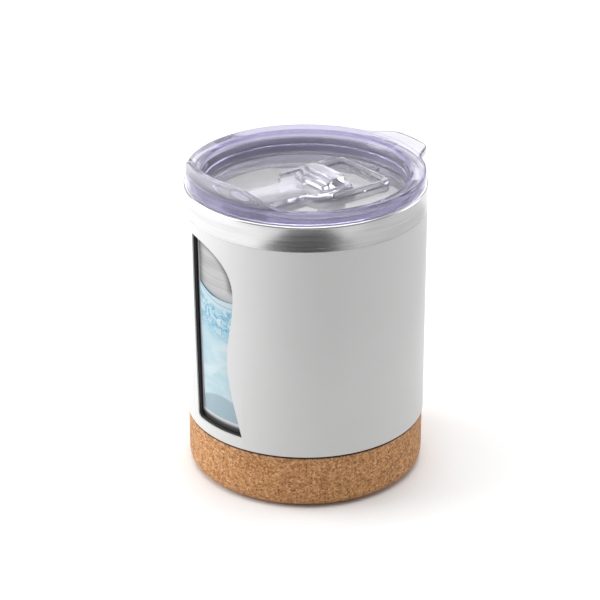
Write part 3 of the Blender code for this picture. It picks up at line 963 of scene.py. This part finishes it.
def lid_profile():
    """The lid's section: a recessed floor, a ring that is open below, and the plug."""
    skirt = LID_R - SKIRT_WALL
    web = CHANNEL_TOP - CHANNEL_SLANT
    floor = rounded([
        (0, FLOOR_TOP), (RECESS_R, FLOOR_TOP, 1.2), (RECESS_R + 0.3, RECESS_BEND)])[:-1]
    ring = rounded([
        (RECESS_R, RECESS_FOOT), (RECESS_R + 0.2, RECESS_BEND, 1.5),
        (RING_INNER_R - 0.2, RING_FOOT, 0.5),
        (RING_INNER_R + 0.6, LID_TOP - 1.0, 0.5), (LID_R - 0.8, LID_TOP, 0.6),
        (LID_R, LID_TOP - 0.6, 0.4), (LID_R, SEAT_Z, 0.3),
        (skirt, SEAT_Z, 0.3), (skirt, CHANNEL_TOP, 0.4), (PLUG_R, web)])[1:-1]
    plug = rounded([
        (PLUG_R, web), (PLUG_R, GROOVE_Z[1], 0.15), (GROOVE_R, GROOVE_Z[1]),
        (GROOVE_R, GROOVE_Z[0]), (PLUG_R, GROOVE_Z[0], 0.15), (PLUG_R, lid_low.z, 0.5),
        (RECESS_R, lid_low.z, 0.5), (RECESS_R, FLOOR_BOTTOM, 0.6), (0, FLOOR_BOTTOM)])
    return floor + dense(ring, SKIN_SPACING) + plug


def spout_share(point):
    """How much of the spout's rise a point of the lid takes, from 0 to 1."""
    radius = math.hypot(point.x, point.y)
    around = 1 - ease(turn_from(point, -90), SPOUT_FLAT, SPOUT_END)
    return around * ease(radius, 37.8, 40.9) * ease(point.z, SEAT_Z + 0.6, LID_TOP - 0.4)


def tab_share(point):
    """How much of the thumb tab's reach a point of the lid takes, from 0 to 1."""
    radius = math.hypot(point.x, point.y)
    around = 1 - ease(turn_from(point, 90), TAB_FLAT, TAB_END)
    return around * ease(radius, 40.9, 41.9) * ease(point.z, 110.4, 111.2)


def make_track():
    """The raised U that the slider runs in."""
    wall = TRACK_OUTER - TRACK_INNER
    start = 2.0
    sunk = 0.9
    outline = rounded([
        (TRACK_OUTER, start, 0.8), (TRACK_OUTER, TRACK_BACK + wall, 3.4),
        (-TRACK_OUTER, TRACK_BACK + wall, 3.4), (-TRACK_OUTER, start, 0.8),
        (-TRACK_INNER, start, 0.8), (-TRACK_INNER, TRACK_BACK, 2.2),
        (TRACK_INNER, TRACK_BACK, 2.2), (TRACK_INNER, start, 0.8)], 6)
    track = slab("track", level(outline, FLOOR_TOP - sunk), UP * (TRACK_TOP - FLOOR_TOP + sunk))
    soften(track, 0.35)
    return track


def make_lid(plastic, rubber):
    """The moulded lid with its spout, tab, track, vent and holes, and the two-lipped gasket."""
    lid = lathe("lid_shell", lid_profile(), LID_STEPS, closed=False)
    push(lid, "Z", SPOUT_RISE, spout_share)
    push(lid, "Y", TAB_REACH, tab_share)
    combine(lid, make_track(), "UNION")
    nub_r = 1.9
    nub_top = FLOOR_TOP + 1.2
    nub_foot = FLOOR_TOP - 0.6
    nub = lathe("vent_nub", rounded([
        (0, nub_top), (nub_r, nub_top, 0.3), (nub_r, nub_foot), (0, nub_foot)]), 32, closed=False)
    shift(nub, Vector((0, VENT_Y, 0)))
    combine(lid, nub, "UNION")
    under = 98
    over = 109
    play = 0.4
    holes = [
        block("drink_hole", (-DRINK_HALF, DRINK_Y[0], under), (DRINK_HALF, DRINK_Y[1], over), 3.0),
        block("stem_slot", (-STEM_HALF - play, STEM_Y[0] - play, under),
              (STEM_HALF + play, STEM_Y[1] + TRAVEL + play, over), 1.0),
        block("vent_hole", (-VENT_R, VENT_Y - VENT_R, under), (VENT_R, VENT_Y + VENT_R, over),
              VENT_R - 0.02)]
    for hole in holes:
        combine(lid, hole)
    smooth(lid)
    fit(lid, "lid", "lid_body", "lid_plastic", plastic)

    inner = GROOVE_R + GAP
    outer = fin_high.x
    middle = (fin_low.z + fin_high.z) / 2
    fins = lathe("lid_seal", rounded([
        (inner, fin_high.z), (outer - 0.7, fin_high.z), (outer, fin_high.z - 0.7, 0.25),
        (outer - 0.9, middle + 0.15, 0.1), (outer - 0.9, middle - 0.15, 0.1),
        (outer, middle - 0.9, 0.25), (outer - 0.7, fin_low.z), (inner, fin_low.z)]))
    smooth(fins)
    fit(fins, "lid", "lid_gasket", "lid_silicone", rubber)


# ---- The slider ----

def slider_outline():
    """From above: a wide grip with a bowed back, and a tongue that reaches over the drink hole."""
    front = slider_low.y
    back = slider_high.y
    cheek = back - 2.6
    bow = 4.2
    return curved([
        ((-SLIDER_HALF, -3.6), None, None), ((-TONGUE_HALF, -5.2), None, None),
        ((-TONGUE_HALF, front + 4), None, (-TONGUE_HALF, front + 1.2)),
        ((0, front), (-bow, front), (bow, front)),
        ((TONGUE_HALF, front + 4), (TONGUE_HALF, front + 1.2), None),
        ((TONGUE_HALF, -5.2), None, None), ((SLIDER_HALF, -3.6), None, None),
        ((SLIDER_HALF, cheek), None, (SLIDER_HALF - 0.6, cheek + 0.7)),
        ((0, back), (bow + 2, back), (-bow - 2, back)),
        ((-SLIDER_HALF, cheek), (-SLIDER_HALF + 0.6, cheek + 0.7), None)])


def make_slider(plastic, clip_plastic, rubber):
    """The shutter with its stepped grip, rails and stem, the seal under it and the clip below."""
    plate = slab("slide_plate", level(slider_outline(), SLIDER_UNDER),
                 UP * (SLIDER_TOP - SLIDER_UNDER))
    soften(plate, 0.25)
    sunk = SLIDER_TOP - 0.9
    grip_half = 8.6
    grip_back = 11.4
    treads = ((1.2, 108.3), (3.2, 109.3), (5.2, slider_high.z))
    for y, z in treads:
        tread = block("tread", (-grip_half, y, sunk), (grip_half, grip_back, z), 1.2, 0.3)
        combine(plate, tread, "UNION")
    for side in (-1, 1):
        x = sorted((side * (SLIDER_HALF - 0.2), side * (SLIDER_HALF - 1.4)))
        rail = block("side_rail", (x[0], -3.0, sunk), (x[1], 11.6, SLIDER_TOP + 0.9), 0.4, 0.25)
        combine(plate, rail, "UNION")
    stem = block("stem", (-STEM_HALF, STEM_Y[0], slider_low.z),
                 (STEM_HALF, STEM_Y[1], SLIDER_UNDER + 0.9), 0.5)
    combine(plate, stem, "UNION")
    pocket = block("seal_pocket", (-DRINK_HALF - 0.7, DRINK_Y[0] - 0.4, SLIDER_UNDER - 1.0),
                   (DRINK_HALF + 0.7, DRINK_Y[1] + 0.8, SLIDER_UNDER + 1.0), 3.2)
    combine(plate, pocket)
    smooth(plate)
    fit(plate, "slider", "slider", "slider_plastic", plastic)

    pad = block("drink_seal", seal_low, seal_high, 2.9, 0.15)
    smooth(pad)
    fit(pad, "slider", "slider_seal", "seal_silicone", rubber)

    clip = block("slide_clip", clip_low, clip_high, 1.5, 0.2)
    keyhole = block("keyhole", (-STEM_HALF - GAP, STEM_Y[0] - GAP, clip_low.z - 1),
                    (STEM_HALF + GAP, STEM_Y[1] + GAP, clip_high.z + 1), 0.5)
    combine(clip, keyhole)
    smooth(clip)
    fit(clip, "slider", "slider_clip", "clip_plastic", clip_plastic)


# ---- Studio ----

def aim(piece, target):
    """Turn a lamp or camera to face a point."""
    piece.rotation_euler = (target - piece.location).to_track_quat("-Z", "Y").to_euler()


def around(azimuth, elevation, distance):
    """A place in metres seen from the cup's middle; azimuth 0 is in front and 90 is at +X."""
    a = math.radians(azimuth)
    e = math.radians(elevation)
    arm = Vector((math.sin(a) * math.cos(e), -math.cos(a) * math.cos(e), math.sin(e)))
    return LOOK_AT * MM + arm * distance


def add_softbox(name, azimuth, elevation, distance, size, power):
    """An area lamp that faces the cup and that the camera doesn't see."""
    data = bpy.data.lights.new(name, "AREA")
    data.shape = "RECTANGLE"
    data.size, data.size_y = size
    data.energy = power
    lamp = bpy.data.objects.new(name, data)
    bpy.context.scene.collection.objects.link(lamp)
    lamp.visible_camera = False
    lamp.location = around(azimuth, elevation, distance)
    aim(lamp, LOOK_AT * MM)


def add_sheet(name, size, material):
    """A flat square on the floor's height."""
    bpy.ops.object.select_all(action="DESELECT")
    bpy.ops.mesh.primitive_plane_add(size=size)
    sheet = bpy.context.object
    sheet.name = name
    sheet.data.materials.append(material)
    return sheet


def add_card(name, tone, azimuth, distance, size):
    """A card lying on the floor that shows only in reflections."""
    board = Finish(name, {"Base Color": (tone, tone, tone, 1), "Roughness": 0.9})
    card = add_sheet(name, 1.0, board.material)
    card.scale = (*size, 1.0)
    card.location = around(azimuth, 0, distance)
    card.location.z = CARD_HEIGHT
    card.rotation_euler = (0, 0, math.radians(azimuth - 90))
    card.visible_camera = False
    card.visible_diffuse = False
    card.visible_transmission = False
    card.visible_shadow = False


def add_studio():
    """A plain pale floor, soft light from four sides and two cards for the steel to reflect."""
    white = Finish("studio_white", {"Roughness": 0.9, "Specular IOR Level": 0.1})
    tone = white.noise(300.0, 2.0)
    white.set("Base Color", white.mix(tone, (0.80, 0.80, 0.80), (0.81, 0.81, 0.81)))
    add_sheet("studio_floor", FLOOR_SIZE, white.material)
    for card in CARDS:
        add_card(*card)

    world = bpy.data.worlds.new("studio_air")
    world.use_nodes = True
    air = world.node_tree.nodes["Background"].inputs
    air["Color"].default_value = (1.0, 1.0, 1.0, 1)
    air["Strength"].default_value = AIR_STRENGTH
    bpy.context.scene.world = world
    bpy.context.scene.view_settings.view_transform = "Standard"
    for softbox in SOFTBOXES:
        add_softbox(*softbox)


def add_camera():
    """A long lens that looks a little down on the cup."""
    data = bpy.data.cameras.new("camera")
    data.lens = LENS
    data.sensor_width = SENSOR
    data.clip_start = 0.01
    camera = bpy.data.objects.new("camera", data)
    bpy.context.scene.collection.objects.link(camera)
    camera.location = around(VIEW_AZIMUTH, VIEW_ELEVATION, CAMERA_DISTANCE * MM)
    aim(camera, LOOK_AT * MM)
    bpy.context.scene.camera = camera


def main():
    """Every piece, then the studio and the camera."""
    black = black_foam("black_liner")
    make_sleeve(satin_paint("satin_grey"), black)
    make_liner(black)
    make_vessel(window_steel("vessel_steel"))
    make_band(band_steel("band_steel"))
    make_print(printed_water("printed_water"))
    make_floor(pressed_steel("plate_steel"), grey_foam("grey_foam"))
    make_base(pressed_cork("pressed_cork"), black_rubber("seam_rubber"))
    make_lid(lid_plastic("lid_plastic"), silicone("lid_silicone"))
    make_slider(clear_plastic("slider_plastic", SLIDER_TINT, 0.08),
                clear_plastic("clip_plastic", CLIP_TINT, 0.04),
                silicone("seal_silicone"))
    add_studio()
    add_camera()


main()
